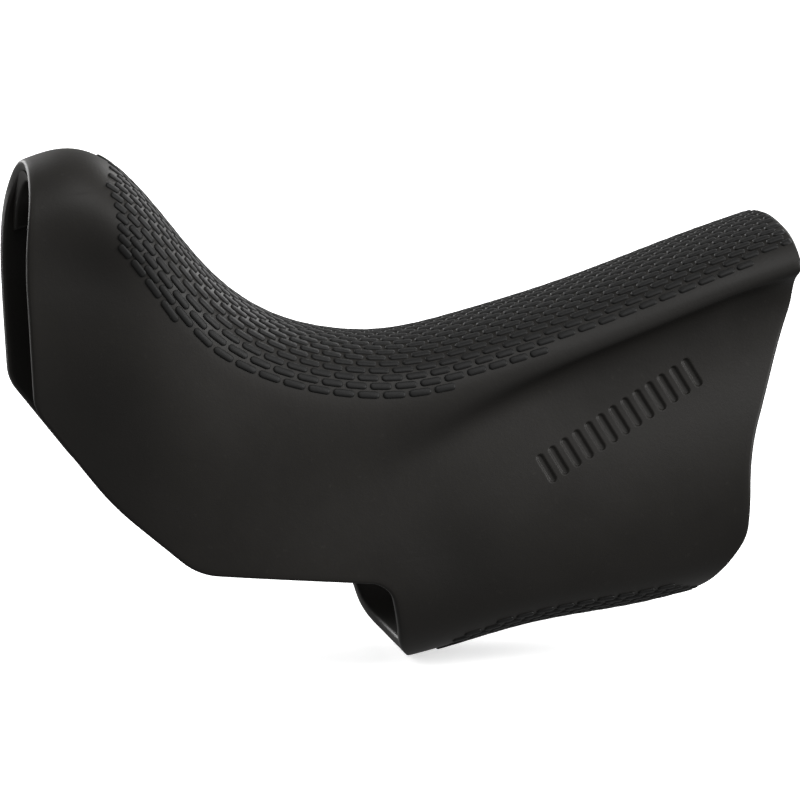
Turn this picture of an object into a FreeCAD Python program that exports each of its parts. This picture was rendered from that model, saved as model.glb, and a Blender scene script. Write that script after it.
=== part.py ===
import FreeCAD, Part
import math
import os

import Sketcher

from FreeCAD import Placement, Rotation, Vector

# Rubber hood of a drop-bar brake/shift lever bracket.
# X runs from the horn (negative) to the handlebar end, Z is up and the hood is
# mirror-symmetric about Y = 0. The origin is the middle of the handlebar opening.

# ---------------------------------------------------------------- driving dimensions

DIMENSIONS = {
    "wall": 1.9,
    "panel_depth": 0.8,
    "outline_width": 60.0,
    "clearance": 46.0,
    # side view: front opening, slanted jaw, belly, lower mouth
    "nose_top_x": -105.3,
    "nose_mid_x": -108.0,
    "nose_mid_z": 28.0,
    "nose_mid_radius": 60.0,
    "chin_x": -107.0,
    "chin_z": 6.0,
    "chin_radius": 6.0,
    "jaw_x": -96.4,
    "jaw_z": -8.0,
    "jaw_radius": 40.0,
    "belly_front_x": -84.6,
    "belly_front_z": -18.2,
    "belly_front_radius": 9.0,
    "belly_rear_x": -56.9,
    "belly_rear_z": -20.9,
    "belly_rear_radius": 4.0,
    "mouth_mid_x": -54.4,
    "mouth_mid_z": -31.9,
    "mouth_mid_radius": 8.0,
    "mouth_low_x": -41.4,
    # side view: rim at the handlebar end
    "rim_low_x": -9.2,
    "rim_low_z": -29.0,
    "heel_x": -3.9,
    "heel_z": -16.8,
    "heel_radius": 10.0,
    "waist_x": -3.8,
    "waist_z": -4.0,
    "waist_radius": 25.0,
    "bulge_x": 5.0,
    "bulge_z": 17.0,
    "bulge_radius": 10.0,
    "rim_top_x": 3.9,
    "rim_top_z": 31.0,
    # locating pegs inside the side walls
    "peg_x": -66.0,
    "peg_z": -6.0,
    "peg_diameter": 4.0,
    "peg_length": 2.2,
    # lip inside the nose
    "lip_depth": 1.3,
    "lip_width": 2.4,
    "lip_setback": 1.6,
    "lip_end_z": 28.5,
}

# Guide curves along the hood: stations X and the value there, in millimetres.
GUIDES = {
    # height of the ridge
    "ridge_z": [(-116, 36.2), (-106, 39.5), (-100.5, 40.9), (-94.7, 39.4), (-89, 34.1),
                (-80.5, 23.6), (-71.7, 16.6), (-62, 13.3), (-54, 12.6), (-42, 14.5),
                (-24, 19.2), (-5.6, 25.1), (3, 27.6), (12, 30.1)],
    # half width of the top roll, and how far below the ridge it is widest
    "roll_w": [(-116, 11.6), (-106, 12.2), (-95, 13.6), (-80, 14.4), (-60, 14.5),
               (-30, 14.2), (12, 14.6)],
    "roll_d": [(-116, 11.0), (-106, 11.5), (-97, 12.5), (-86, 15.5), (-75, 13.0), (-58, 10.0),
               (-30, 8.0), (-10, 6.8), (12, 6.0)],
    # half width and height of the crease below the roll
    "crease_w": [(-116, 12.4), (-106, 12.6), (-90, 14.9), (-70, 15.4), (-46, 13.9),
                 (-20, 12.3), (12, 12.2)],
    "crease_z": [(-116, 14.0), (-104, 12.0), (-90, 3.0), (-70, -7.0), (-46, 0.5),
                 (-10, 14.2), (12, 22.4)],
    # half width and height of the widest place of the skirt
    "skirt_w": [(-116, 11.6), (-106, 12.1), (-90, 14.7), (-70, 16.2), (-46, 16.6),
                (-20, 17.0), (-6, 17.8), (12, 20.0)],
    "skirt_z": [(-116, 2.0), (-104, -4.0), (-86, -16.0), (-66, -19.0), (-46, -18.5),
                (-20, -16.0), (12, -12.0)],
    # height of the keel, which the front opening cuts away
    "keel_z": [(-116, -30.0), (-80, -36.0), (-51, -34.7), (-34, -30.9), (-16, -28.9),
               (-7, -27.2), (12, -24.0)],
    # roundness of the section below the skirt: 1 is an ellipse, less is squarer
    "keel_power": [(-116, 1.0), (-80, 0.92), (-50, 0.86), (-25, 0.96), (-5, 1.05), (12, 1.05)],
}

# Edges of the two grip panels in side view, as points (X, Z) of a smooth curve.
PANEL_EDGES = {
    "top_edge": [(-92.4, 44.0), (-95.6, 32.0), (-90.0, 22.0), (-80.7, 12.4), (-69.0, 7.2),
                 (-56.0, 5.4), (-44.0, 8.0), (-24.7, 14.4), (-6.0, 21.4), (14.0, 28.4)],
    "lower_edge": [(-46.5, -40.0), (-45.6, -31.0), (-41.0, -28.5), (-33.0, -26.2),
                   (-21.0, -25.0), (-11.0, -24.6), (-8.6, -40.0)],
}

STATION_FIRST = -116.0
STATION_LAST = 12.0
STATION_COUNT = 24
HALF_PROFILE_STEPS = 12

doc = FreeCAD.newDocument("hood")
sheet = doc.addObject("Spreadsheet::Sheet", "dims")


def fill_sheet():
    """Every driving dimension and curve point gets a cell with an alias."""
    entries = dict(DIMENSIONS)
    for name, points in {**GUIDES, **PANEL_EDGES}.items():
        for number, (along, value) in enumerate(points, 1):
            entries[f"{name}_at_{number}"] = along
            entries[f"{name}_val_{number}"] = value
    for row, (alias, value) in enumerate(entries.items(), 1):
        sheet.set(f"A{row}", alias)
        sheet.set(f"B{row}", str(value))
        sheet.setAlias(f"B{row}", alias)


fill_sheet()
doc.recompute()


def dim(alias):
    return float(sheet.get(alias))


# ---------------------------------------------------------------- smooth curves

def spline(knots, values):
    """Natural cubic spline through the knots, as a function."""
    last = len(knots) - 1
    gap = [knots[i + 1] - knots[i] for i in range(last)]
    slope = [(values[i + 1] - values[i]) / gap[i] for i in range(last)]
    ratio = [0.0] * (last + 1)
    bend = [0.0] * (last + 1)
    for i in range(1, last):
        pivot = 2 * (gap[i - 1] + gap[i]) - gap[i - 1] * ratio[i - 1]
        ratio[i] = gap[i] / pivot
        bend[i] = (6 * (slope[i] - slope[i - 1]) - gap[i - 1] * bend[i - 1]) / pivot
    for i in range(last - 1, 0, -1):
        bend[i] -= ratio[i] * bend[i + 1]

    def value_at(x):
        i = max(0, min(last - 1, sum(1 for k in knots[1:-1] if k <= x)))
        after = x - knots[i]
        before = knots[i + 1] - x
        width = gap[i]
        cubic = (bend[i] * before ** 3 + bend[i + 1] * after ** 3) / (6 * width)
        left = (values[i] / width - bend[i] * width / 6) * before
        right = (values[i + 1] / width - bend[i + 1] * width / 6) * after
        return cubic + left + right

    return value_at


def sheet_points(name, count):
    return [(dim(f"{name}_at_{n}"), dim(f"{name}_val_{n}")) for n in range(1, count + 1)]


def guide_curve(name):
    points = sheet_points(name, len(GUIDES[name]))
    return spline([p[0] for p in points], [p[1] for p in points])


guides = {name: guide_curve(name) for name in GUIDES}


# ---------------------------------------------------------------- cross-section

def profile_anchors(x):
    """Half cross-section at station x, ridge to keel, as (y, z) anchors."""
    g = {name: curve(x) for name, curve in guides.items()}
    anchors = []
    for turn in (0, 30, 60, 90):
        a = math.radians(turn)
        anchors.append((g["roll_w"] * math.sin(a),
                        g["ridge_z"] - g["roll_d"] * (1 - math.cos(a))))
    anchors.append((g["crease_w"], g["crease_z"]))
    anchors.append(((g["crease_w"] + g["skirt_w"]) / 2,
                    (g["crease_z"] + g["skirt_z"]) / 2))
    depth = g["skirt_z"] - g["keel_z"]
    power = g["keel_power"]
    for turn in (90, 60, 30, 0):
        a = math.radians(turn)
        anchors.append((g["skirt_w"] * math.sin(a) ** power,
                        g["skirt_z"] - depth * abs(math.cos(a)) ** power))
    return anchors


def half_profile(x):
    """Points at even fractions of the way round the half cross-section."""
    anchors = profile_anchors(x)
    # the mirrored neighbours of both ends make the curve level there
    extended = [(-y, z) for y, z in reversed(anchors[1:3])]
    extended += anchors
    extended += [(-y, z) for y, z in reversed(anchors[-3:-1])]
    way = [0.0]
    for (y0, z0), (y1, z1) in zip(extended, extended[1:]):
        way.append(way[-1] + math.hypot(y1 - y0, z1 - z0))
    y_at = spline(way, [p[0] for p in extended])
    z_at = spline(way, [p[1] for p in extended])
    start, end = way[2], way[-3]
    steps = [start + (end - start) * i / HALF_PROFILE_STEPS
             for i in range(HALF_PROFILE_STEPS + 1)]
    points = [(y_at(s), z_at(s)) for s in steps]
    points[0] = (0.0, points[0][1])
    points[-1] = (0.0, points[-1][1])
    return points


def inset_profile(x, inset):
    """The half profile moved inwards, square to the surface, within its own plane."""
    here = half_profile(x)
    if inset == 0:
        return here
    step = 0.5
    ahead = half_profile(x + step)
    behind = half_profile(x - step)
    moved = []
    for i, (y, z) in enumerate(here):
        y0, z0 = here[max(i - 1, 0)]
        y1, z1 = here[min(i + 1, len(here) - 1)]
        if i == 0:
            y0 = -y1
            z0 = z1
        if i == len(here) - 1:
            y1 = -y0
            z1 = z0
        along = Vector(0, y1 - y0, z1 - z0)
        forward = Vector(2 * step, ahead[i][0] - behind[i][0], ahead[i][1] - behind[i][1])
        normal = forward.cross(along)
        normal.normalize()
        flat = math.hypot(normal.y, normal.z)
        if normal.z * (z - guides["skirt_z"](x)) + normal.y * y > 0:
            normal = normal * -1
        shift = inset / flat
        moved.append((max(0.0, y + shift * normal.y / flat), z + shift * normal.z / flat))
    moved[0] = (0.0, moved[0][1])
    moved[-1] = (0.0, moved[-1][1])
    return moved


def section_wire(x, inset):
    """Closed wire round the whole section, with its seam on the right-hand wall."""
    half = inset_profile(x, inset)
    seam = HALF_PROFILE_STEPS // 2
    mirrored = [(-y, z) for y, z in reversed(half[1:-1])]
    loop = half[seam:] + mirrored + half[:seam]
    curve = Part.BSplineCurve()
    curve.interpolate(Points=[Vector(x, y, z) for y, z in loop], PeriodicFlag=True,
                      Parameters=[float(i) for i in range(len(loop) + 1)])
    return Part.Wire([curve.toShape()])


def lofted_form(name, inset):
    """Solid through all the stations, moved inwards by the inset."""
    step = (STATION_LAST - STATION_FIRST) / (STATION_COUNT - 1)
    wires = [section_wire(STATION_FIRST + step * i, inset) for i in range(STATION_COUNT)]
    form = doc.addObject("Part::Feature", name)
    form.Shape = Part.makeLoft(wires, True, False)
    return form


outer_form = lofted_form("outer_form", 0.0)
bed_form = lofted_form("bed_form", dim("panel_depth"))
cavity_form = lofted_form("cavity_form", dim("wall"))


# ---------------------------------------------------------------- side outline

def origin_plane(body, role):
    return next(f for f in body.Origin.OriginFeatures if f.Role == role)


def closed_outline(body, name, corners):
    """Sketch of straight sides on the XZ plane, each corner bound to two cells."""
    sketch = body.newObject("Sketcher::SketchObject", name)
    sketch.AttachmentSupport = [(origin_plane(body, "XZ_Plane"), "")]
    sketch.MapMode = "FlatFace"
    spots = [Vector(cell_value(x), cell_value(z), 0) for x, z in corners]
    for here, after in zip(spots, spots[1:] + spots[:1]):
        sketch.addGeometry(Part.LineSegment(here, after), False)
    for side in range(len(corners)):
        following = (side + 1) % len(corners)
        sketch.addConstraint(Sketcher.Constraint("Coincident", side, 2, following, 1))
    for side, (x_cell, z_cell) in enumerate(corners):
        for kind, cell, value in (("DistanceX", x_cell, spots[side].x),
                                  ("DistanceY", z_cell, spots[side].y)):
            index = sketch.addConstraint(Sketcher.Constraint(kind, -1, 1, side, 1, value))
            sketch.setExpression(f"Constraints[{index}]", cell_formula(cell))
    return sketch


def cell_value(cell):
    return -dim(cell[1:]) if cell.startswith("-") else dim(cell)


def cell_formula(cell):
    return f"-dims.{cell[1:]}" if cell.startswith("-") else f"dims.{cell}"


def edge_across(shape, x, z):
    """Name of the edge that runs along Y at the given place."""
    for number, edge in enumerate(shape.Edges, 1):
        ends = [v.Point for v in edge.Vertexes]
        if all(math.hypot(p.x - x, p.z - z) < 0.01 for p in ends):
            return f"Edge{number}"
    raise ValueError(f"no edge at {x}, {z}")


def side_outline_body():
    """Prism of the hood's side view, with its corners rounded one by one."""
    body = doc.addObject("PartDesign::Body", "side_outline")
    sketch = closed_outline(body, "side_outline_sketch", [
        ("nose_top_x", "clearance"),
        ("nose_mid_x", "nose_mid_z"),
        ("chin_x", "chin_z"),
        ("jaw_x", "jaw_z"),
        ("belly_front_x", "belly_front_z"),
        ("belly_rear_x", "belly_rear_z"),
        ("mouth_mid_x", "mouth_mid_z"),
        ("mouth_low_x", "-clearance"),
        ("rim_low_x", "-clearance"),
        ("rim_low_x", "rim_low_z"),
        ("heel_x", "heel_z"),
        ("waist_x", "waist_z"),
        ("bulge_x", "bulge_z"),
        ("rim_top_x", "rim_top_z"),
        ("rim_top_x", "clearance"),
    ])
    pad = body.newObject("PartDesign::Pad", "side_outline_pad")
    pad.Profile = sketch
    pad.Midplane = True
    pad.setExpression("Length", "dims.outline_width")
    doc.recompute()
    latest = pad
    for corner in ("nose_mid", "chin", "jaw", "belly_front", "belly_rear", "mouth_mid",
                   "heel", "waist", "bulge"):
        edge = edge_across(latest.Shape, dim(f"{corner}_x"), dim(f"{corner}_z"))
        fillet = body.newObject("PartDesign::Fillet", f"{corner}_round")
        fillet.Base = (latest, [edge])
        fillet.setExpression("Radius", f"dims.{corner}_radius")
        doc.recompute()
        latest = fillet
    return body


side_outline = side_outline_body()


def panel_zone(name, edge_name, closing_z):
    """Prism from a panel's smooth edge to a level line beyond the hood."""
    half = dim("outline_width") / 2
    points = [Vector(x, -half, z) for x, z in sheet_points(edge_name, len(PANEL_EDGES[edge_name]))]
    edge = Part.BSplineCurve()
    edge.interpolate(points)
    corners = [points[-1], Vector(points[-1].x, -half, closing_z),
               Vector(points[0].x, -half, closing_z), points[0]]
    outline = Part.Wire([edge.toShape()] + Part.makePolygon(corners).Edges)
    zone = doc.addObject("Part::Feature", name)
    zone.Shape = Part.Face(outline).extrude(Vector(0, 2 * half, 0))
    return zone


top_zone = panel_zone("top_zone", "top_edge", dim("clearance"))
lower_zone = panel_zone("lower_zone", "lower_edge", -dim("clearance"))


# ---------------------------------------------------------------- sub-parts

def cut(name, base, tool):
    result = doc.addObject("Part::Cut", name)
    result.Base = base
    result.Tool = tool
    return result


def common(name, base, tool):
    result = doc.addObject("Part::Common", name)
    result.Base = base
    result.Tool = tool
    return result


def fuse(name, shapes):
    result = doc.addObject("Part::MultiFuse", name)
    result.Shapes = shapes
    return result


def grip_panel(name, zone):
    """Inlay between the outer surface and its bed, within its zone."""
    blank = common(f"{name}_blank", outer_form, zone)
    inlay = cut(f"{name}_inlay", blank, bed_form)
    return common(name, inlay, side_outline)


def nose_lip():
    """Ledge round the inside of the nose, a little behind the front opening."""
    band = doc.addObject("Part::Box", "lip_band")
    band.setExpression("Length", "dims.lip_width")
    band.setExpression("Width", "dims.outline_width")
    band.setExpression("Height", "dims.clearance - dims.lip_end_z")
    band.setExpression("Placement.Base.x", "dims.nose_mid_x + dims.lip_setback")
    band.setExpression("Placement.Base.y", "-dims.outline_width / 2")
    band.setExpression("Placement.Base.z", "dims.lip_end_z")
    lip_form = lofted_form("lip_form", dim("wall") + dim("lip_depth"))
    outside = common("lip_outside", bed_form, band)
    return cut("nose_lip", outside, lip_form)


def locating_peg(name, side):
    """Round peg standing on the inside of one side wall, side = -1 or 1."""
    wall_y = half_width(dim("peg_x"), dim("peg_z"))
    peg = doc.addObject("Part::Cylinder", name)
    peg.setExpression("Radius", "dims.peg_diameter / 2")
    peg.setExpression("Height", "dims.peg_length + dims.wall / 2")
    root = Vector(dim("peg_x"), side * (wall_y - dim("wall") / 2), dim("peg_z"))
    peg.Placement = Placement(root, Rotation(Vector(0, 0, 1), Vector(0, -side, 0)))
    return peg


def half_width(x, z):
    """Half width of the outer form at station x and height z, on its side wall."""
    profile = half_profile(x)
    for (y0, z0), (y1, z1) in zip(profile, profile[1:]):
        if z0 >= z >= z1:
            return y0 + (y1 - y0) * (z0 - z) / (z0 - z1)
    raise ValueError(f"no wall at {x}, {z}")


top_grip_panel = grip_panel("top_grip_panel", top_zone)
lower_grip_panel = grip_panel("lower_grip_panel", lower_zone)
shell = common("shell", cut("thick_skin", outer_form, cavity_form), side_outline)
carrier = cut("carrier", cut("carrier_top", shell, top_grip_panel), lower_grip_panel)
pegs = [locating_peg("peg_left", -1), locating_peg("peg_right", 1)]
hood_skin = fuse("hood_skin", [carrier, nose_lip()] + pegs)

SUB_PARTS = {
    "hood_skin": hood_skin,
    "top_grip_panel": top_grip_panel,
    "lower_grip_panel": lower_grip_panel,
}

doc.recompute()

for item in doc.Objects:
    if "Invalid" in item.State or "Error" in item.State:
        raise RuntimeError(f"{item.Name} failed: {item.State}")
for label, part in SUB_PARTS.items():
    part.Label = label
    if part.Shape.isNull() or not part.Shape.isValid():
        raise RuntimeError(f"{label} has no valid shape")

os.makedirs("parts", exist_ok=True)
for label, part in SUB_PARTS.items():
    part.Shape.exportStep(f"parts/{label}.step")
    box = part.Shape.optimalBoundingBox()
    print(label, len(part.Shape.Solids), "solid(s)", round(part.Shape.Volume), "mm3", box)
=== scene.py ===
import math

import bpy
import numpy as np
from mathutils import Matrix, Vector


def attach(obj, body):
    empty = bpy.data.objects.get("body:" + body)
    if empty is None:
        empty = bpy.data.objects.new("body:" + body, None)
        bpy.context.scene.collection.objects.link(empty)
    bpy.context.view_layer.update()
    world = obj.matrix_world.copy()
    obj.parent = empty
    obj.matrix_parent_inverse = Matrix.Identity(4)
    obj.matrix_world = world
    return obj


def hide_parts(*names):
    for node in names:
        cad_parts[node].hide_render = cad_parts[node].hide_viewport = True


# Visual model of a rubber lever-bracket hood. Shapes are worked out in millimetres
# and scaled to metres when a mesh is made. X runs from the horn (negative) to the
# handlebar end, Z is up, and the hood is mirror-symmetric about Y = 0.

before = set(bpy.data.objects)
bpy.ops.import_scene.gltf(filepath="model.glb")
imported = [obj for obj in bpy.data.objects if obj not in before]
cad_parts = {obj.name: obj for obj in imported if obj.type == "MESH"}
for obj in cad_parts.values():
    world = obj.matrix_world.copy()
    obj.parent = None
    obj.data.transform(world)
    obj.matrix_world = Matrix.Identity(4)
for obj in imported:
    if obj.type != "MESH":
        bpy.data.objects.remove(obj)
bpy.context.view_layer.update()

MM = 0.001
WALL = 1.9
RIM_ROUND = 0.5

# ---------------------------------------------------------------- form of the skin

# Guide curves along the hood: stations X and the value there.
GUIDES = {
    # height of the ridge
    "ridge_z": [(-116, 36.2), (-106, 39.5), (-100.5, 40.9), (-94.7, 39.4), (-89, 34.1),
                (-80.5, 23.6), (-71.7, 16.6), (-62, 13.3), (-54, 12.6), (-42, 14.5),
                (-24, 19.2), (-5.6, 25.1), (3, 27.6), (12, 30.1)],
    # half width of the top roll, and how far below the ridge it is widest
    "roll_w": [(-116, 11.6), (-106, 12.2), (-95, 13.6), (-80, 14.4), (-60, 14.5),
               (-30, 14.2), (12, 14.6)],
    "roll_d": [(-116, 11.0), (-106, 11.5), (-97, 12.5), (-86, 15.5), (-75, 13.0), (-58, 10.0),
               (-30, 8.0), (-10, 6.8), (12, 6.0)],
    # half width and height of the crease below the roll
    "crease_w": [(-116, 12.4), (-106, 12.6), (-90, 14.9), (-70, 15.4), (-46, 13.9),
                 (-20, 12.3), (12, 12.2)],
    "crease_z": [(-116, 14.0), (-104, 12.0), (-90, 3.0), (-70, -7.0), (-46, 0.5),
                 (-10, 14.2), (12, 22.4)],
    # half width and height of the widest place of the skirt
    "skirt_w": [(-116, 11.6), (-106, 12.1), (-90, 14.7), (-70, 16.2), (-46, 16.6),
                (-20, 17.0), (-6, 17.8), (12, 20.0)],
    "skirt_z": [(-116, 2.0), (-104, -4.0), (-86, -16.0), (-66, -19.0), (-46, -18.5),
                (-20, -16.0), (12, -12.0)],
    # height of the keel
    "keel_z": [(-116, -30.0), (-80, -36.0), (-51, -34.7), (-34, -30.9), (-16, -28.9),
               (-7, -27.2), (12, -24.0)],
    # roundness of the section below the skirt: 1 is an ellipse, less is squarer
    "keel_power": [(-116, 1.0), (-80, 0.92), (-50, 0.86), (-25, 0.96), (-5, 1.05), (12, 1.05)],
}

# Free edges in side view as corners (X, Z, rounding radius).
FRONT_EDGE = [(-105.3, 46.0, 0), (-108.0, 28.0, 60), (-107.0, 6.0, 6), (-96.4, -8.0, 40),
              (-84.6, -18.2, 9), (-56.9, -20.9, 4), (-54.4, -31.9, 8), (-41.4, -46.0, 0)]
REAR_EDGE = [(3.9, 46.0, 0), (3.9, 31.0, 0), (5.0, 17.0, 10), (-3.8, -4.0, 25),
             (-3.9, -16.8, 10), (-9.2, -29.0, 0), (-9.2, -46.0, 0)]

# Boundaries of the two padded areas in side view, as points (X, Z).
TOP_PAD_EDGE = [(-92.4, 44.0), (-95.6, 32.0), (-90.0, 22.0), (-80.7, 12.4), (-69.0, 7.2),
                (-56.0, 5.4), (-44.0, 8.0), (-24.7, 14.4), (-6.0, 21.4), (14.0, 28.4)]
LOWER_PAD_EDGE = [(-46.5, -40.0), (-45.6, -31.0), (-41.0, -28.5), (-33.0, -26.2),
                  (-21.0, -25.0), (-11.0, -24.6), (-8.6, -40.0)]


def natural_spline(knots, values, at):
    """Natural cubic spline, one per row: knots and values (N, K), at (N,)."""
    knots = np.atleast_2d(knots).astype(float)
    values = np.atleast_2d(values).astype(float)
    rows = max(len(knots), len(values), len(at))
    count = values.shape[1]
    knots = np.broadcast_to(knots, (rows, count))
    values = np.broadcast_to(values, (rows, count))
    gap = np.diff(knots, axis=1)
    slope = np.diff(values, axis=1) / gap
    ratio = np.zeros((rows, count))
    bend = np.zeros((rows, count))
    for i in range(1, count - 1):
        pivot = 2 * (gap[:, i - 1] + gap[:, i]) - gap[:, i - 1] * ratio[:, i - 1]
        ratio[:, i] = gap[:, i] / pivot
        bend[:, i] = (6 * (slope[:, i] - slope[:, i - 1]) - gap[:, i - 1] * bend[:, i - 1]) / pivot
    for i in range(count - 2, 0, -1):
        bend[:, i] -= ratio[:, i] * bend[:, i + 1]
    at = np.broadcast_to(np.asarray(at, float), (rows,))
    cell = np.clip((knots[:, 1:-1] <= at[:, None]).sum(1), 0, count - 2)
    row = np.arange(rows)
    left, right = knots[row, cell], knots[row, cell + 1]
    width = right - left
    before, after = right - at, at - left
    b0, b1 = bend[row, cell], bend[row, cell + 1]
    v0, v1 = values[row, cell], values[row, cell + 1]
    return ((b0 * before ** 3 + b1 * after ** 3) / (6 * width)
            + (v0 / width - b0 * width / 6) * before
            + (v1 / width - b1 * width / 6) * after)


def guide(name, x):
    points = np.array(GUIDES[name], float)
    return natural_spline(points[:, 0], points[:, 1], x)


def section_anchors(x):
    """Half cross-sections at stations x, ridge to keel, as arrays y and z (N, 10)."""
    g = {name: guide(name, x) for name in GUIDES}
    y, z = [], []
    for turn in (0, 30, 60, 90):
        a = math.radians(turn)
        y.append(g["roll_w"] * math.sin(a))
        z.append(g["ridge_z"] - g["roll_d"] * (1 - math.cos(a)))
    y.append(g["crease_w"])
    z.append(g["crease_z"])
    y.append((g["crease_w"] + g["skirt_w"]) / 2)
    z.append((g["crease_z"] + g["skirt_z"]) / 2)
    depth = g["skirt_z"] - g["keel_z"]
    for turn in (90, 60, 30, 0):
        a = math.radians(turn)
        y.append(g["skirt_w"] * math.sin(a) ** g["keel_power"])
        z.append(g["skirt_z"] - depth * max(0.0, math.cos(a)) ** g["keel_power"])
    return np.stack(y, 1), np.stack(z, 1)


# numbers of the ridge and the keel among the extended anchors
RIDGE, KEEL = 2, -3


def section_way(x):
    """Anchors extended past both ends by their mirror images, with the way round."""
    y, z = section_anchors(x)
    y = np.concatenate([-y[:, 2:0:-1], y, -y[:, -2:-4:-1]], 1)
    z = np.concatenate([z[:, 2:0:-1], z, z[:, -2:-4:-1]], 1)
    step = np.hypot(np.diff(y, axis=1), np.diff(z, axis=1))
    way = np.concatenate([np.zeros((len(y), 1)), np.cumsum(step, 1)], 1)
    return y, z, way


def surface(x, t):
    """Points of the plain outer surface, t from 0 at the ridge to 1 at the keel and on
    up the other side. Negative t is the mirrored side."""
    x = np.atleast_1d(np.asarray(x, float))
    t = np.broadcast_to(np.asarray(t, float), x.shape)
    side = np.where(t < 0, -1.0, 1.0)
    t = np.abs(t)
    side = np.where(t > 1, -side, side)
    t = np.where(t > 1, 2 - t, t)
    y, z, way = section_way(x)
    at = way[:, RIDGE] + t * (way[:, KEEL] - way[:, RIDGE])
    return np.stack([x, side * natural_spline(way, y, at), natural_spline(way, z, at)], 1)


def surface_normal(x, t):
    """Outward unit normals of the plain outer surface."""
    step_x, step_t = 0.05, 0.001
    along = surface(x + step_x, t) - surface(x - step_x, t)
    round_ = surface(x, t + step_t) - surface(x, t - step_t)
    normal = np.cross(along, round_)
    return normal / np.linalg.norm(normal, axis=1)[:, None]


def height_to_t(x, z):
    """The t at which the section at x reaches height z."""
    low = np.zeros(len(x))
    high = np.ones(len(x))
    for _ in range(36):
        mid = (low + high) / 2
        above = surface(x, mid)[:, 2] > z
        low = np.where(above, mid, low)
        high = np.where(above, high, mid)
    return (low + high) / 2


STATIONS = np.arange(-116.0, 12.1, 0.25)
girth_way = section_way(STATIONS)[2]
GIRTH = girth_way[:, KEEL] - girth_way[:, RIDGE]
CREASE_T = height_to_t(STATIONS, guide("crease_z", STATIONS))


def half_girth(x):
    """Way round half the section from ridge to keel at stations x."""
    return np.interp(x, STATIONS, GIRTH)


def smooth_step(low, high, value):
    s = np.clip((np.asarray(value) - low) / (high - low), 0, 1)
    return s * s * (3 - 2 * s)


# ---------------------------------------------------------------- surface detail

# The mark is a plain slanted row of sunk bars on each side wall, finely divided there:
# its middle (X, Z), slope, bars, half width and half length of a bar, and the margin
# along and across it. The wall is further out than MARK_WALL_Y.
MARK_CENTRE = (-22.2, 0.7)
MARK_SLOPE = math.radians(28.5)
MARK_BARS = 13
MARK_PITCH = 2.15
MARK_BAR = (0.46, 2.1)
MARK_DEPTH = 0.32
MARK_EDGE = 0.2
MARK_MARGIN = (0.7, 1.1)
MARK_DIVISIONS = 5
MARK_WALL_Y = 8.0

# Shallow hollows in the moulding: middle (X, Z), reach (X, Z) and depth. The dish of
# the horn grows over this range of t, so that it stays off the ridge.
HORN_DISH = ((-98.5, 27.0), (8.0, 7.0), 1.4)
MOUTH_HOLLOW = ((-48.5, -17.0), (6.0, 5.5), 0.45)
DISH_START = (0.12, 0.3)

# The valley along the crease: depth, and reach above and below it. It grows along
# X over the first stretch and fades towards the rim over the last one.
CREASE_DEPTH = 1.4
CREASE_REACH = (2.6, 3.6)
CREASE_GROWS = (-62, -24)
CREASE_FADES = (-5, 4)
CREASE_FADE = 0.75

# Painted shade, where the rubber is made darker and rougher: the dish and the hollow as
# middle (X, Z), reach (X, Z) and strength; a band just above the crease, growing along X;
# the low flank of the horn, growing forwards and downwards; and the inside.
PAINTED_SHADE_SPOTS = [((-99.0, 25.0), (7.5, 7.5), 0.8), ((-47.0, -19.0), (8.0, 8.0), 0.7)]
SHADE_BAND_ABOVE_CREASE = 2.2
SHADE_BAND_REACH = (3.0, 2.6)
SHADE_BAND_GROWS = (-66, -34)
FLANK_SHADE_STRENGTH = 0.8
FLANK_SHADE_GROWS_X = (-84, -100)
FLANK_SHADE_GROWS_Z = (20, 6)
INSIDE_SHADE_STRENGTH = 0.6


def mark_place(points):
    """Position along and across the slanted mark on the side wall."""
    dx = points[:, 0] - MARK_CENTRE[0]
    dz = points[:, 2] - MARK_CENTRE[1]
    along = dx * math.cos(MARK_SLOPE) + dz * math.sin(MARK_SLOPE)
    across = -dx * math.sin(MARK_SLOPE) + dz * math.cos(MARK_SLOPE)
    return along, across


def mark_depth(points):
    """Depth of the plain row of moulded bars."""
    along, across = mark_place(points)
    number = np.clip(np.round(along / MARK_PITCH), -(MARK_BARS // 2), MARK_BARS // 2)
    away = np.abs(along - number * MARK_PITCH)
    reach = np.maximum(np.abs(across) - (MARK_BAR[1] - MARK_BAR[0]), 0)
    inside = MARK_BAR[0] - np.hypot(away, reach)
    return MARK_DEPTH * smooth_step(-MARK_EDGE / 2, MARK_EDGE / 2, inside)


def spot(x, z, middle, reach):
    """1 at a place in side view, fading away smoothly over the reach."""
    return np.exp(-((x - middle[0]) / reach[0]) ** 2 - ((z - middle[1]) / reach[1]) ** 2)


def below_crease(x, side):
    """Way round the section from the crease down, negative above it."""
    return (side - np.interp(x, STATIONS, CREASE_T)) * half_girth(x)


def lopsided(away, reach):
    """1 at zero, fading away over one reach above and another below."""
    return np.exp(-(away / np.where(away < 0, reach[0], reach[1])) ** 2)


def detail(x, t, points):
    """How far the moulded surface stands off the plain one, outwards positive."""
    side = np.abs(t)
    side = np.where(side > 1, 2 - side, side)
    strength = smooth_step(*CREASE_GROWS, x) * (1 - CREASE_FADE * smooth_step(*CREASE_FADES, x))
    valley = CREASE_DEPTH * strength * lopsided(below_crease(x, side), CREASE_REACH)
    middle, reach, depth = HORN_DISH
    dish = depth * spot(x, points[:, 2], middle, reach) * smooth_step(*DISH_START, side)
    middle, reach, depth = MOUTH_HOLLOW
    hollow = depth * spot(x, points[:, 2], middle, reach)
    return -valley - dish - hollow


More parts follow.
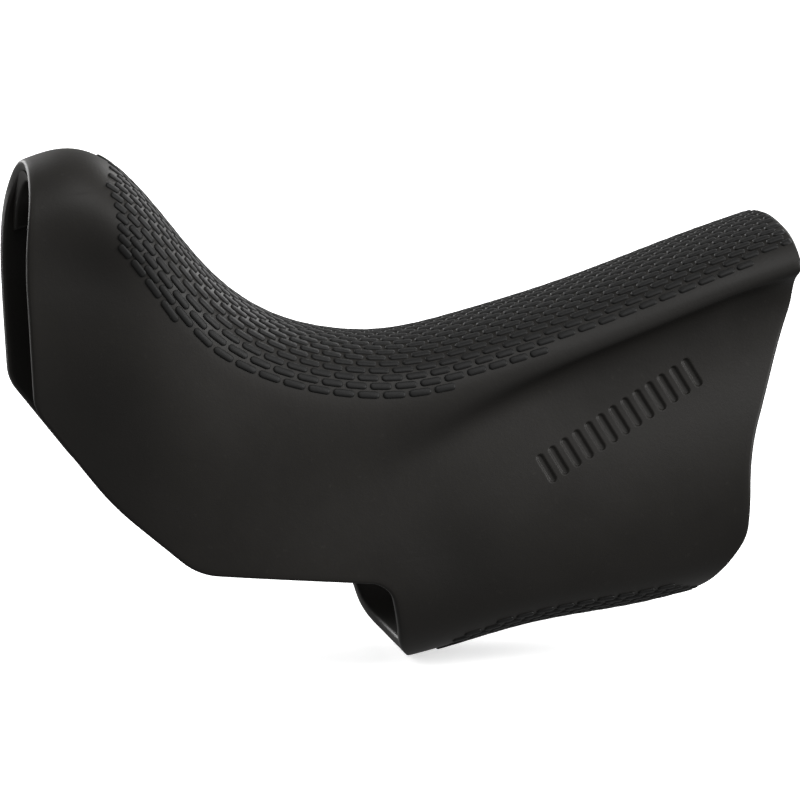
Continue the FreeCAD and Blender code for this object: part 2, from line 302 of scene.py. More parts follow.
def where_shade_is_painted(x, t, points):
    """Share of painted shade at each place, 0 to 1: there the rubber is darker and rougher."""
    z = points[:, 2]
    away = below_crease(x, np.abs(t)) + SHADE_BAND_ABOVE_CREASE
    band = smooth_step(*SHADE_BAND_GROWS, x) * lopsided(away, SHADE_BAND_REACH)
    flank = FLANK_SHADE_STRENGTH * smooth_step(*FLANK_SHADE_GROWS_X, x) * smooth_step(*FLANK_SHADE_GROWS_Z, z)
    spots = [strength * spot(x, z, middle, reach) for middle, reach, strength in PAINTED_SHADE_SPOTS]
    return np.clip(np.maximum.reduce([band, flank, *spots]), 0, 1)


def skin_points(x, t, with_mark=False):
    points = surface(x, t)
    lift = detail(x, t, points)
    if with_mark:
        lift = lift - mark_depth(points)
    return points + surface_normal(x, t) * lift[:, None]


# ---------------------------------------------------------------- free edges

def rounded_path(corners, arc_steps=24):
    """Polyline through the corners with each one rounded by its radius."""
    path = [np.array(corners[0][:2], float)]
    for before, here, after in zip(corners, corners[1:], corners[2:]):
        p = np.array(here[:2], float)
        d0 = np.array(before[:2], float) - p
        d1 = np.array(after[:2], float) - p
        d0 /= np.linalg.norm(d0)
        d1 /= np.linalg.norm(d1)
        if here[2] == 0:
            path.append(p)
            continue
        half = math.acos(float(np.clip(d0 @ d1, -1, 1))) / 2
        start = p + d0 * here[2] / math.tan(half)
        end = p + d1 * here[2] / math.tan(half)
        middle = (d0 + d1) / np.linalg.norm(d0 + d1)
        centre = p + middle * here[2] / math.sin(half)
        a, b = start - centre, end - centre
        angle = math.pi - 2 * half
        for i in range(arc_steps + 1):
            f = i / arc_steps
            spoke = (a * math.sin((1 - f) * angle) + b * math.sin(f * angle)) / math.sin(angle)
            path.append(centre + spoke)
    path.append(np.array(corners[-1][:2], float))
    return np.array(path)


def dense(path, step=0.1):
    """The path resampled in even steps."""
    way = np.concatenate([[0], np.cumsum(np.linalg.norm(np.diff(path, axis=0), axis=1))])
    at = np.linspace(0, way[-1], int(way[-1] / step) + 1)
    return np.stack([np.interp(at, way, path[:, 0]), np.interp(at, way, path[:, 1])], 1)


def on_surface(path):
    """The part of a side-view path that lies on the skin, as (x, t) with exact ends."""
    top = surface(path[:, 0], 0.0)[:, 2]
    bottom = surface(path[:, 0], 1.0)[:, 2]
    kept = np.nonzero((path[:, 1] < top) & (path[:, 1] > bottom))[0]
    inner = path[kept]
    x = inner[:, 0]
    t = height_to_t(x, inner[:, 1])
    x = np.concatenate([[2 * x[0] - x[1]], x, [2 * x[-1] - x[-2]]])
    return np.stack([x, np.concatenate([[0.0], t, [1.0]])], 1)


def split_evenly(line, start, end, cells):
    """Points of a line of (x, t) between two indices, evenly spaced on the surface."""
    part = line[start:end + 1]
    points = surface(part[:, 0], part[:, 1])
    way = np.concatenate([[0], np.cumsum(np.linalg.norm(np.diff(points, axis=0), axis=1))])
    at = np.linspace(0, way[-1], cells + 1)
    return np.stack([np.interp(at, way, part[:, 0]), np.interp(at, way, part[:, 1])], 1)


def drawn_in(path, distance):
    """The path moved to its left by a distance; a negative one moves it right."""
    along = np.gradient(path, axis=0)
    along /= np.linalg.norm(along, axis=1)[:, None]
    return path + distance * np.stack([-along[:, 1], along[:, 0]], 1)


# the sheet ends short of the free edges, by as much as the rims add
front_line = on_surface(drawn_in(dense(rounded_path(FRONT_EDGE)), RIM_ROUND))
rear_line = on_surface(drawn_in(dense(rounded_path(REAR_EDGE)), -RIM_ROUND))


def nearest_index(line, x, z):
    points = surface(line[:, 0], line[:, 1])
    return int(np.argmin(np.hypot(points[:, 0] - x, points[:, 2] - z)))


# corners of the two patches on the free edges
CHIN = nearest_index(front_line, -106.0, 5.0)
THROAT = nearest_index(front_line, -57.6, -21.6)
HEEL = nearest_index(rear_line, -4.6, -11.5)

# cells of the upper and lower patch; the lower one starts at the throat's column
UPPER_ROWS = 80
LOWER_ROWS = 36
COLUMNS = 152
THROAT_COLUMN = 80


def blend_patch(top, bottom, left, right):
    """Interior of a four-sided patch from its sides, in (x, t)."""
    rows, columns = len(left), len(top)
    u = np.linspace(0, 1, columns)[None, :, None]
    v = np.linspace(0, 1, rows)[:, None, None]
    return ((1 - v) * top[None] + v * bottom[None] + (1 - u) * left[:, None] + u * right[:, None]
            - (1 - u) * (1 - v) * top[0] - u * (1 - v) * top[-1]
            - (1 - u) * v * bottom[0] - u * v * bottom[-1])


def straight(a, b, cells):
    return a + (b - a) * np.linspace(0, 1, cells + 1)[:, None]


throat, heel = front_line[THROAT], rear_line[HEEL]
seam = straight(throat, heel, COLUMNS - THROAT_COLUMN)
upper = blend_patch(
    straight(front_line[0], rear_line[0], COLUMNS),
    np.concatenate([split_evenly(front_line, CHIN, THROAT, THROAT_COLUMN)[:-1], seam]),
    split_evenly(front_line, 0, CHIN, UPPER_ROWS),
    split_evenly(rear_line, 0, HEEL, UPPER_ROWS))
lower = blend_patch(
    seam,
    straight(front_line[-1], rear_line[-1], COLUMNS - THROAT_COLUMN),
    split_evenly(front_line, THROAT, len(front_line) - 1, LOWER_ROWS),
    split_evenly(rear_line, HEEL, len(rear_line) - 1, LOWER_ROWS))


# ---------------------------------------------------------------- mesh building

def make_mesh(name, points, faces):
    mesh = bpy.data.meshes.new(name)
    mesh.from_pydata([tuple(p) for p in np.asarray(points) * MM], [], faces)
    mesh.update()
    mesh.shade_smooth()
    piece = bpy.data.objects.new(name, mesh)
    bpy.context.scene.collection.objects.link(piece)
    return piece


def skin_grid():
    """Grid of the right half (t >= 0) and its mirror image as (x, t) and quads."""
    half = []
    number = {}
    for i in range(UPPER_ROWS + 1):
        for j in range(COLUMNS + 1):
            number[("u", i, j)] = len(half)
            half.append(upper[i, j])
    for i in range(1, LOWER_ROWS + 1):
        for j in range(COLUMNS - THROAT_COLUMN + 1):
            number[("l", i, j)] = len(half)
            half.append(lower[i, j])
    for j in range(COLUMNS - THROAT_COLUMN + 1):
        number[("l", 0, j)] = number[("u", UPPER_ROWS, THROAT_COLUMN + j)]
    quads = []
    for kind, rows, columns in (("u", UPPER_ROWS, COLUMNS),
                                ("l", LOWER_ROWS, COLUMNS - THROAT_COLUMN)):
        for i in range(rows):
            for j in range(columns):
                quads.append((number[(kind, i, j)], number[(kind, i, j + 1)],
                              number[(kind, i + 1, j + 1)], number[(kind, i + 1, j)]))
    half = np.array(half)
    on_ridge = {number[("u", 0, j)] for j in range(COLUMNS + 1)}
    on_keel = {number[("l", LOWER_ROWS, j)] for j in range(COLUMNS - THROAT_COLUMN + 1)}
    places = [tuple(p) for p in half]
    other = {}
    for i, (x, t) in enumerate(half):
        if i in on_ridge or i in on_keel:
            other[i] = i
        else:
            other[i] = len(places)
            places.append((x, -t))
    mirrored = [tuple(other[i] for i in reversed(q)) for q in quads]
    return np.array(places), quads + mirrored


def boundary_loops(faces):
    """Closed loops of boundary vertices, each in the order of its faces."""
    directed = set()
    for f in faces:
        for a, b in zip(f, f[1:] + f[:1]):
            directed.add((a, b))
    following = {a: b for a, b in directed if (b, a) not in directed}
    loops = []
    while following:
        start = min(following)
        loop = [start]
        here = following.pop(start)
        while here != start:
            loop.append(here)
            here = following.pop(here)
        loops.append(loop)
    return loops


def refine(places, faces, chosen, parts):
    """Splits each chosen quad into parts x parts; its neighbours take in the new points."""
    places = [tuple(p) for p in places]
    edge_points = {}

    def along_edge(a, b):
        key = (min(a, b), max(a, b))
        if key not in edge_points:
            p, q = np.array(places[key[0]]), np.array(places[key[1]])
            new = []
            for i in range(1, parts):
                new.append(len(places))
                places.append(tuple(p + (q - p) * i / parts))
            edge_points[key] = new
        found = edge_points[key]
        return found if a < b else found[::-1]

    fine = []
    for index in sorted(chosen):
        a, b, c, d = faces[index]
        left = [a] + along_edge(a, b) + [b]
        right = [d] + along_edge(d, c) + [c]
        top = [a] + along_edge(a, d) + [d]
        bottom = [b] + along_edge(b, c) + [c]
        grid = [top]
        for i in range(1, parts):
            p, q = np.array(places[left[i]]), np.array(places[right[i]])
            row = [left[i]]
            for k in range(1, parts):
                row.append(len(places))
                places.append(tuple(p + (q - p) * k / parts))
            grid.append(row + [right[i]])
        grid.append(bottom)
        for i in range(parts):
            for k in range(parts):
                fine.append((grid[i][k], grid[i + 1][k], grid[i + 1][k + 1], grid[i][k + 1]))
    plain = []
    for index, face in enumerate(faces):
        if index in chosen:
            continue
        ring = []
        for a, b in zip(face, face[1:] + face[:1]):
            ring.append(a)
            key = (min(a, b), max(a, b))
            if key in edge_points:
                ring += edge_points[key] if a < b else edge_points[key][::-1]
        plain.append(tuple(ring))
    return np.array(places), plain + fine


def rim_profile():
    """Rounded rim in units of (towards the free edge, depth below the surface)."""
    r = RIM_ROUND
    steps = 4
    outer = [(r * math.sin(a), r - r * math.cos(a))
             for a in (math.pi / 2 * i / steps for i in range(1, steps + 1))]
    inner = [(r * math.cos(a), WALL - r + r * math.sin(a))
             for a in (math.pi / 2 * i / steps for i in range(steps))]
    return outer + inner


def build_skin():
    """Outer surface with the moulded mark, inner surface, and rounded rims between them."""
    places, quads = skin_grid()
    plain = surface(places[:, 0], places[:, 1])
    centres = np.array([plain[list(q)].mean(0) for q in quads])
    along, across = mark_place(centres)
    in_mark = ((np.abs(along) < MARK_PITCH * MARK_BARS / 2 + MARK_MARGIN[0])
               & (np.abs(across) < MARK_BAR[1] + MARK_MARGIN[1]))
    on_wall = np.abs(centres[:, 1]) > MARK_WALL_Y
    chosen = set(np.nonzero(in_mark & on_wall)[0].tolist())
    outer_places, outer_faces = refine(places, quads, chosen, MARK_DIVISIONS)
    outer = skin_points(outer_places[:, 0], outer_places[:, 1], with_mark=True)

    coarse = skin_points(places[:, 0], places[:, 1])
    normal = surface_normal(places[:, 0], places[:, 1])
    inner = coarse - normal * WALL

    points = [outer]
    faces = list(outer_faces)
    inner_start = len(outer)
    faces += [tuple(inner_start + i for i in reversed(q)) for q in quads]
    count = inner_start + len(inner)
    rings = []
    for loop in boundary_loops(quads):
        p = coarse[loop]
        tangent = np.roll(p, -1, 0) - np.roll(p, 1, 0)
        n = normal[loop]
        outwards = np.cross(tangent, n)
        outwards /= np.linalg.norm(outwards, axis=1)[:, None]
        before = list(loop)
        for shift, depth in rim_profile():
            rings.append(p + outwards * shift - n * depth)
            here = list(range(count, count + len(loop)))
            count += len(loop)
            faces += strip(before, here)
            before = here
        faces += strip(before, [inner_start + i for i in loop])
    points += [inner] + rings
    piece = make_mesh("skin", np.concatenate(points), faces)
    # painted shade: the mask on the outer surface, and an even share of it on the inner surface
    painted_shade = np.zeros(count)
    painted_shade[:inner_start] = where_shade_is_painted(outer_places[:, 0], outer_places[:, 1], outer)
    painted_shade[inner_start:inner_start + len(inner)] = INSIDE_SHADE_STRENGTH
    layer = piece.data.attributes.new("painted_shade", "FLOAT", "POINT")
    layer.data.foreach_set("value", painted_shade.astype(np.float32))
    return piece


def strip(first, second):
    """Quads between two closed rings of the same length."""
    size = len(first)
    return [(first[(i + 1) % size], first[i], second[i], second[(i + 1) % size])
            for i in range(size)]


# ---------------------------------------------------------------- raised pads

# A pad is rings of (drawn in by, height) and a middle point at PAD_TOP. Length and pitch
# are measured along the ridge, or along the keel for the lower pads. Pads keep the margin
# to the free edges, where they are cut short down to the shortest.
PAD_LENGTH = 2.72
PAD_WIDTH = 1.1
PAD_CORNER = 0.48
PAD_PITCH = 3.07
ROW_PITCH = 1.3
PAD_RINGS = [(0.0, -0.12), (0.03, 0.10), (0.13, 0.20), (0.30, 0.25)]
PAD_TOP = 0.27
PAD_MARGIN = 0.45
SHORTEST_PAD = 1.0
ROLL_RADIUS = 14.0


def pad_outline(inset, corner_steps=3, least_radius=0.06):
    """Rounded rectangle of a pad, drawn in by the inset."""
    half_length = PAD_LENGTH / 2 - inset
    half_width = PAD_WIDTH / 2 - inset
    radius = max(PAD_CORNER - inset, least_radius)
    outline = []
    for corner, (sx, sy) in enumerate(((1, 1), (-1, 1), (-1, -1), (1, -1))):
        for i in range(corner_steps + 1):
            a = math.pi / 2 * (corner + i / corner_steps)
            outline.append((sx * (half_length - radius) + radius * math.cos(a),
                            sy * (half_width - radius) + radius * math.sin(a)))
    return np.array(outline)


def inside_outline(outline, x, z):
    """Which points lie inside a closed polygon."""
    inside = np.zeros(len(x), bool)
    for (x0, z0), (x1, z1) in zip(outline, np.roll(outline, -1, 0)):
        crosses = (z0 > z) != (z1 > z)
        with np.errstate(divide="ignore", invalid="ignore"):
            at = x0 + (z - z0) * (x1 - x0) / (z1 - z0)
        inside ^= crosses & (x < at)
    return inside


def smooth_outline(points, closing_z):
    """Polygon from a smooth curve through the points to a level line beyond the hood."""
    points = np.array(points, float)
    way = np.concatenate([[0], np.cumsum(np.linalg.norm(np.diff(points, axis=0), axis=1))])
    at = np.linspace(0, way[-1], 400)
    x = natural_spline(way, points[:, 0], at)
    z = natural_spline(way, points[:, 1], at)
    ends = [[points[-1, 0], closing_z], [points[0, 0], closing_z]]
    return np.concatenate([np.stack([x, z], 1), ends])


body_outline = np.concatenate([rounded_path(FRONT_EDGE), rounded_path(REAR_EDGE)[::-1]])


def inside_body(x, z):
    return inside_outline(body_outline, x, z)


def way_round(x, distance):
    """Way round the upright section at x to a row at a distance from the ridge, measured
    square to the roll: where the roll climbs, an upright section cuts it at a slant."""
    samples = 8
    rise = np.interp(x, STATIONS, np.gradient(guide("ridge_z", STATIONS), STATIONS))
    turn = np.minimum(np.abs(distance) / ROLL_RADIUS, math.pi / 2)
    # mean of sqrt(1 + rise^2 sin^2) over the turn, and the full slant beyond a quarter turn
    steps = (np.arange(samples) + 0.5) / samples
    slant = np.sqrt(1 + (rise[:, None] * np.sin(turn[:, None] * steps)) ** 2).mean(1)
    rest = np.maximum(np.abs(distance) - ROLL_RADIUS * math.pi / 2, 0)
    way = turn * ROLL_RADIUS * slant + rest * np.sqrt(1 + rise ** 2)
    return np.sign(distance) * way


def below_ridge(distance):
    """How far a row at a distance from the ridge lies below it, square to the roll."""
    turn = np.minimum(np.abs(distance) / ROLL_RADIUS, math.pi / 2)
    return ROLL_RADIUS * (1 - np.cos(turn)) + np.abs(distance) - turn * ROLL_RADIUS


def along_ridge(x, row):
    """Way along the ridge to the places square to it that a top row reaches at stations x."""
    ridge_x = np.linspace(-112.0, 12.0, 1200)
    ridge_z = guide("ridge_z", ridge_x)
    climb = np.arctan(np.gradient(ridge_z, ridge_x))
    way = np.concatenate([[0], np.cumsum(np.hypot(np.diff(ridge_x), np.diff(ridge_z)))])
    row_x = ridge_x + np.sin(climb) * below_ridge(row * ROW_PITCH)
    return np.interp(x, np.maximum.accumulate(row_x), way)


def along_keel(x, row):
    """Way along the keel at stations x, the same for every row."""
    keel_z = guide("keel_z", x)
    return np.concatenate([[0], np.cumsum(np.hypot(np.diff(x), np.diff(keel_z)))])


def top_row_way(x, row):
    return way_round(x, np.broadcast_to(row * ROW_PITCH, x.shape)) / half_girth(x)


def lower_row_way(x, row):
    return 1 - row * ROW_PITCH / half_girth(x)


def square_to_row(x, row, across, row_way):
    """Places (x, t) a distance across from a row, square to it on the surface."""
    step_x, step_t = 0.05, 0.001
    ahead, behind = x + step_x, x - step_x
    t = row_way(x, row)
    along = surface(ahead, row_way(ahead, row)) - surface(behind, row_way(behind, row))
    by_x = (surface(ahead, t) - surface(behind, t)) / (2 * step_x)
    by_t = (surface(x, t + step_t) - surface(x, t - step_t)) / (2 * step_t)
    normal = np.cross(by_x, by_t)
    square = np.cross(normal, along)
    square *= (across / np.linalg.norm(square, axis=1))[:, None]
    xx, xt, tt = (by_x * by_x).sum(1), (by_x * by_t).sum(1), (by_t * by_t).sum(1)
    sx, st = (square * by_x).sum(1), (square * by_t).sum(1)
    size = xx * tt - xt * xt
    return x + (sx * tt - st * xt) / size, t + (st * xx - sx * xt) / size


def pad_field(name, outline, last_row, row_way, bond_way, x_range):
    """Running-bond rows of pads that follow the length of the hood, numbered from the
    middle. row_way gives a row's t at stations x, bond_way its way along the bond."""
    stations = np.linspace(x_range[0], x_range[1], 600)
    rings = [(pad_outline(inset), inset, height) for inset, height in PAD_RINGS]
    per_ring = len(rings[0][0])
    table, faces = [], []
    count = 0
    for row in range(-last_row, last_row + 1):
        path = surface(stations, row_way(stations, row))
        way = bond_way(stations, row)
        on_hood = np.nonzero(inside_body(path[:, 0], path[:, 2]))[0]
        first_way, last_way = way[on_hood[0]] + PAD_MARGIN, way[on_hood[-1]] - PAD_MARGIN
        shift = 0.5 * (row % 2)
        first = math.ceil(way[0] / PAD_PITCH - shift)
        last = math.floor(way[-1] / PAD_PITCH - shift)
        centres = (np.arange(first, last + 1) + shift) * PAD_PITCH
        at = np.clip(centres, first_way, last_way)
        place = np.stack([np.interp(at, way, path[:, 0]), np.interp(at, way, path[:, 2])], 1)
        room = (np.minimum(centres + PAD_LENGTH / 2, last_way)
                - np.maximum(centres - PAD_LENGTH / 2, first_way))
        keep = inside_outline(outline, place[:, 0], place[:, 1]) & (room > SHORTEST_PAD)
        for centre in centres[keep]:
            for ring, inset, height in rings:
                along = np.clip(centre + ring[:, 0], first_way + inset, last_way - inset)
                table.append(np.stack([np.interp(along, way, stations),
                                       np.full(per_ring, float(row)),
                                       ring[:, 1], np.full(per_ring, height)], 1))
            middle = np.clip(centre, first_way + SHORTEST_PAD / 2, last_way - SHORTEST_PAD / 2)
            table.append(np.array([[np.interp(middle, way, stations), row, 0.0, PAD_TOP]]))
            for ring in range(len(rings) - 1):
                a = count + ring * per_ring
                b = a + per_ring
                faces += [(a + i, a + (i + 1) % per_ring, b + (i + 1) % per_ring, b + i)
                          for i in range(per_ring)]
            top = count + (len(rings) - 1) * per_ring
            peak = count + len(rings) * per_ring
            faces += [(top + i, top + (i + 1) % per_ring, peak) for i in range(per_ring)]
            count = peak + 1
    table = np.concatenate(table)
    x, t = square_to_row(table[:, 0], table[:, 1], table[:, 2], row_way)
    base = surface(x, t)
    lift = detail(x, t, base) + table[:, 3]
    return make_mesh(name, base + surface_normal(x, t) * lift[:, None], faces)


# ---------------------------------------------------------------- inner details

def build_lip():
    """Ledge round the inside of the nose, a little behind the front opening."""
    stations, corner_steps = 121, 4
    x_mid, z_end = -105.2, 28.5
    half_thick, depth, corner = 1.2, 1.3, 0.35
    sunk_in, end_fade = 0.4, 0.7
    t_end = float(height_to_t(np.array([x_mid]), np.array([z_end]))[0])
    t = np.linspace(-t_end, t_end, stations)
    section = [(-half_thick, -sunk_in)]
    for i in range(corner_steps + 1):
        a = math.pi / 2 * i / corner_steps
        section.append((-half_thick + corner - corner * math.cos(a),
                        depth - corner + corner * math.sin(a)))
    for i in range(corner_steps + 1):
        a = math.pi / 2 * i / corner_steps
        section.append((half_thick - corner + corner * math.sin(a),
                        depth - corner + corner * math.cos(a)))
    section.append((half_thick, -sunk_in))
    points, faces = [], []
    for shift, down in section:
        x = np.full(stations, x_mid + shift)
        fade = np.clip((t_end - np.abs(t)) * half_girth(x) / end_fade, 0, 1)
        drop = WALL - sunk_in + (down + sunk_in) * np.sqrt(fade * (2 - fade))
        points.append(surface(x, t) - surface_normal(x, t) * drop[:, None])
    for k in range(len(section) - 1):
        for i in range(stations - 1):
            a = k * stations + i
            faces.append((a, a + 1, a + stations + 1, a + stations))
    return np.concatenate(points), faces


def build_peg(side):
    """Locating peg on the inside of a side wall, with a fillet and a rounded end."""
    x, z = -66.0, -6.0
    radius, length, corner = 2.0, 2.2, 0.5
    around, corner_steps = 40, 5
    t = height_to_t(np.array([x]), np.array([z]))
    wall = surface(np.array([x]), side * t)[0]
    wall_y = abs(wall[1]) - WALL
    # rings of (radius, height above the wall)
    rings = [(radius, -0.6), (radius + 0.35, 0.0), (radius + 0.08, 0.18), (radius, 0.5)]
    rings += [(radius - corner + corner * math.cos(a), length - corner + corner * math.sin(a))
              for a in (math.pi / 2 * i / corner_steps for i in range(corner_steps + 1))]
    rings += [(radius * 0.5, length), (radius * 0.2, length)]
    points, faces = [], []
    for ring_radius, out in rings:
        for i in range(around):
            a = 2 * math.pi * i / around
            points.append((x + ring_radius * math.cos(a), side * (wall_y - out),
                           z + ring_radius * math.sin(a)))
    for k in range(len(rings) - 1):
        for i in range(around):
            a, b = k * around + i, k * around + (i + 1) % around
            quad = (a, b, b + around, a + around)
            faces.append(quad if side > 0 else quad[::-1])
    top = (len(rings) - 1) * around
    cap = tuple(range(top, top + around))
    faces.append(cap if side > 0 else cap[::-1])
    return np.array(points), faces


# ---------------------------------------------------------------- materials

def new_material(name):
    material = bpy.data.materials.new(name)
    material.use_nodes = True
    tree = material.node_tree
    tree.nodes.clear()
    return material, tree


def node(tree, kind, **values):
    made = tree.nodes.new(kind)
    for key, value in values.items():
        if key in made.inputs:
            made.inputs[key].default_value = value
        else:
            setattr(made, key, value)
    return made


def noise(tree, vector, **values):
    made = node(tree, "ShaderNodeTexNoise", **values)
    tree.links.new(vector, made.inputs["Vector"])
    return made.outputs["Fac"]


def remapped(tree, value, source, target):
    """The value with the source range stretched to the target range, and held beyond."""
    made = node(tree, "ShaderNodeMapRange")
    made.inputs["From Min"].default_value, made.inputs["From Max"].default_value = source
    made.inputs["To Min"].default_value, made.inputs["To Max"].default_value = target
    tree.links.new(value, made.inputs["Value"])
    return made.outputs["Result"]


# the sockets of a colour Mix node, which has the same names for its other types too
MIX_FACTOR, MIX_FIRST, MIX_SECOND, MIX_RESULT = 0, 6, 7, 2


def towards(tree, colour, tint, share):
    """The colour mixed with a tint by a varying share."""
    made = node(tree, "ShaderNodeMix", data_type="RGBA")
    made.inputs[MIX_SECOND].default_value = (*tint, 1)
    tree.links.new(share, made.inputs[MIX_FACTOR])
    tree.links.new(colour, made.inputs[MIX_FIRST])
    return made.outputs[MIX_RESULT]


def bumped(tree, height, normal=None, **values):
    made = node(tree, "ShaderNodeBump", **values)
    tree.links.new(height, made.inputs["Height"])
    if normal is not None:
        tree.links.new(normal, made.inputs["Normal"])
    return made.outputs["Normal"]


def shade(tint, factor):
    return tuple(c * factor for c in tint)


def rubber(name, tint, roughness, specular, grain):
    """Satin moulded rubber: fine mould grain, cloudy sheen, dust specks, faint scuffs
    that run along the hood, and painted shade: darker, rougher rubber in hollows and inside."""
    material, tree = new_material(name)
    link = tree.links.new
    out = node(tree, "ShaderNodeOutputMaterial")
    shader = node(tree, "ShaderNodeBsdfPrincipled")
    shader.inputs["IOR"].default_value = 1.5
    shader.inputs["Specular IOR Level"].default_value = specular
    link(shader.outputs["BSDF"], out.inputs["Surface"])

    place = node(tree, "ShaderNodeTexCoord").outputs["Object"]
    cloud = noise(tree, place, Scale=55.0, Detail=5.0, Roughness=0.6)
    speck = noise(tree, place, Scale=900.0, Detail=2.0, Roughness=0.5)
    fine = noise(tree, place, Scale=2600.0, Detail=3.0, Roughness=0.6)
    stretch = node(tree, "ShaderNodeMapping", vector_type="POINT")
    stretch.inputs["Rotation"].default_value = (0.0, 0.5, 0.0)
    stretch.inputs["Scale"].default_value = (60.0, 400.0, 900.0)
    link(place, stretch.inputs["Vector"])
    scuff = noise(tree, stretch.outputs["Vector"], Scale=1.0, Detail=4.0, Roughness=0.7)
    painted_shade = node(tree, "ShaderNodeAttribute", attribute_name="painted_shade").outputs["Fac"]

    ramp = node(tree, "ShaderNodeValToRGB")
    dark_end, light_end = ramp.color_ramp.elements
    dark_end.position, light_end.position = 0.3, 0.72
    dark_end.color = (*shade(tint, 0.86), 1)
    light_end.color = (*shade(tint, 1.16), 1)
    link(cloud, ramp.inputs["Fac"])
    dust = remapped(tree, speck, (0.66, 0.8), (0.0, 0.3))
    dusty = towards(tree, ramp.outputs["Color"], shade(tint, 2.2), dust)
    # painted shade: the base colour darkens towards 0.6 of the tint by the mask's share
    link(towards(tree, dusty, shade(tint, 0.6), painted_shade), shader.inputs["Base Color"])

    sheen = remapped(tree, cloud, (0.25, 0.75), (roughness - 0.05, roughness + 0.07))
    scuffs = remapped(tree, scuff, (0.64, 0.8), (0.0, 0.12))
    scuffed = node(tree, "ShaderNodeMath", operation="ADD")
    link(sheen, scuffed.inputs[0])
    link(scuffs, scuffed.inputs[1])
    # up to 0.12 more roughness where the shade is painted
    matt = node(tree, "ShaderNodeMath", operation="MULTIPLY_ADD")
    matt.inputs[1].default_value = 0.12
    link(painted_shade, matt.inputs[0])
    link(scuffed.outputs["Value"], matt.inputs[2])
    link(matt.outputs["Value"], shader.inputs["Roughness"])

    uneven = bumped(tree, speck, Strength=0.35, Distance=0.00004)
    grained = bumped(tree, fine, uneven, Strength=grain, Distance=0.00003)
    link(grained, shader.inputs["Normal"])
    return material


def paper(name, tint, roughness, glow):
    """Plain matt backdrop that glows a little, so that it comes out white."""
    material, tree = new_material(name)
    out = node(tree, "ShaderNodeOutputMaterial")
    shader = node(tree, "ShaderNodeBsdfPrincipled")
    shader.inputs["Base Color"].default_value = (*tint, 1)
    shader.inputs["Roughness"].default_value = roughness
    shader.inputs["Emission Color"].default_value = (1.0, 1.0, 1.0, 1)
    shader.inputs["Emission Strength"].default_value = glow
    tree.links.new(shader.outputs["BSDF"], out.inputs["Surface"])
    return material


# ---------------------------------------------------------------- the pieces

hood_rubber = rubber("hood_rubber", (0.0138, 0.0127, 0.0113),
                     roughness=0.48, specular=0.2, grain=0.5)
grip_rubber = rubber("grip_rubber", (0.0105, 0.0105, 0.0103),
                     roughness=0.52, specular=0.16, grain=0.45)

skin = build_skin()
lip = make_mesh("nose_lip", *build_lip())
peg_right = make_mesh("peg_right", *build_peg(1))
peg_left = make_mesh("peg_left", *build_peg(-1))

top_zone = smooth_outline(TOP_PAD_EDGE, 60.0)
lower_zone = smooth_outline(LOWER_PAD_EDGE, -60.0)
top_pads = pad_field("top_grip_pads", top_zone, 25, top_row_way, along_ridge, (-108.0, 6.0))
lower_pads = pad_field("lower_grip_pads", lower_zone, 10, lower_row_way, along_keel, (-60.0, 0.0))

for piece in (skin, lip, peg_right, peg_left):
    piece.data.materials.append(hood_rubber)
    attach(piece, "root")
for piece in (top_pads, lower_pads):
    piece.data.materials.append(grip_rubber)
    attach(piece, "root")
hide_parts("hood_skin")
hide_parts("top_grip_panel")
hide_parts("lower_grip_panel")

# ---------------------------------------------------------------- studio

# in millimetres, a little under the lowest place of the hood
FLOOR_Z = -35.2

# The lights aim at the middle of the hood: name, place, width and height in metres,
# and watts.
MIDDLE = (-0.05, 0.0, 0.0)
LIGHTS = [
    ("above", (0.0, -0.35, 1.0), (0.5, 0.5), 2.5),
    ("right_low", (0.85, -0.5, 0.35), (0.5, 0.5), 11.5),
    ("front_high", (0.1, -0.6, 0.9), (0.7, 0.5), 4.0),
    ("behind_left", (-0.6, 0.8, 0.3), (0.8, 0.6), 14.0),
    ("behind_right", (0.7, 0.7, 0.45), (0.6, 0.5), 5.0),
]


def build_cyclorama():
    """White floor that curves up into a wall, far wider than the view."""
    front, bend, radius, wall_top, half_width = -900.0, 500.0, 500.0, 2500.0, 2500.0
    bend_steps = 24
    profile = [(front, 0.0), (bend, 0.0)]
    profile += [(bend + radius * math.sin(a), radius - radius * math.cos(a))
                for a in (math.pi / 2 * i / bend_steps for i in range(1, bend_steps + 1))]
    profile += [(bend + radius, wall_top)]
    xs = np.linspace(-half_width, half_width, 21)
    points = [(x, y, FLOOR_Z + z) for y, z in profile for x in xs]
    faces = []
    for i in range(len(profile) - 1):
        for j in range(len(xs) - 1):
            a = i * len(xs) + j
            faces.append((a, a + 1, a + len(xs) + 1, a + len(xs)))
    return make_mesh("cyclorama", points, faces)


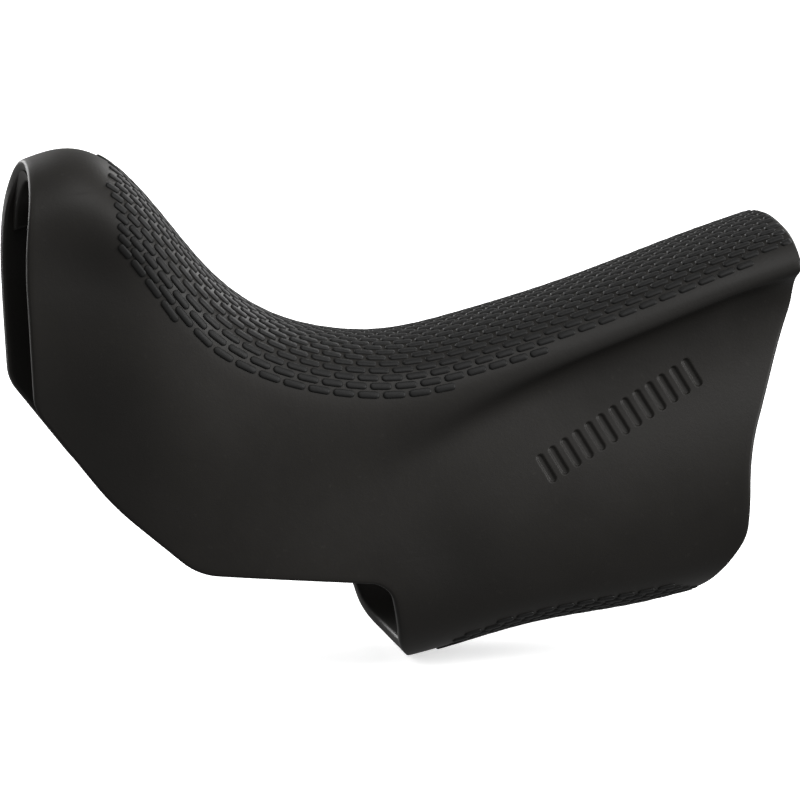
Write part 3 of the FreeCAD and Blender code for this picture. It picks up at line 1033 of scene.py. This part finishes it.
def soft_light(name, place, size, watts):
    data = bpy.data.lights.new(name, "AREA")
    data.shape = "RECTANGLE"
    data.size, data.size_y = size
    data.energy = watts
    lamp = bpy.data.objects.new(name, data)
    lamp.location = Vector(place)
    lamp.rotation_euler = (Vector(MIDDLE) - Vector(place)).to_track_quat("-Z", "Y").to_euler()
    bpy.context.scene.collection.objects.link(lamp)


cyclorama = build_cyclorama()
cyclorama.data.materials.append(paper("white_paper", (0.95, 0.95, 0.95), 0.9, 0.55))
# the glowing floor doesn't light the hood, and doesn't show in its sheen
cyclorama.visible_diffuse = False
cyclorama.visible_glossy = False

world = bpy.data.worlds.new("studio")
world.use_nodes = True
background = world.node_tree.nodes["Background"]
background.inputs["Color"].default_value = (1.0, 1.0, 1.0, 1)
background.inputs["Strength"].default_value = 0.3
bpy.context.scene.world = world

for name, place, size, watts in LIGHTS:
    soft_light(name, place, size, watts)

view = bpy.context.scene.view_settings
view.view_transform = "Standard"
view.look = "None"
view.exposure = 0.0

TARGET = Vector((-0.0515, 0.0, 0.0025))
CAMERA_AZIMUTH = math.radians(-14.0)
CAMERA_ELEVATION = math.radians(11.5)
CAMERA_DISTANCE = 0.65
CAMERA_LENS = 201.8

back = Vector((math.sin(CAMERA_AZIMUTH) * math.cos(CAMERA_ELEVATION),
               -math.cos(CAMERA_AZIMUTH) * math.cos(CAMERA_ELEVATION),
               math.sin(CAMERA_ELEVATION)))
right = Vector((math.cos(CAMERA_AZIMUTH), math.sin(CAMERA_AZIMUTH), 0.0))
up = back.cross(right)
camera = bpy.data.objects.new("camera", bpy.data.cameras.new("camera"))
camera.data.lens = CAMERA_LENS
camera.data.sensor_width = 36.0
camera.data.clip_start = 0.05
camera.data.clip_end = 20.0
eye = TARGET + back * CAMERA_DISTANCE
camera.matrix_world = Matrix(((right.x, up.x, back.x, eye.x),
                              (right.y, up.y, back.y, eye.y),
                              (right.z, up.z, back.z, eye.z),
                              (0, 0, 0, 1)))
bpy.context.scene.collection.objects.link(camera)
bpy.context.scene.camera = camera
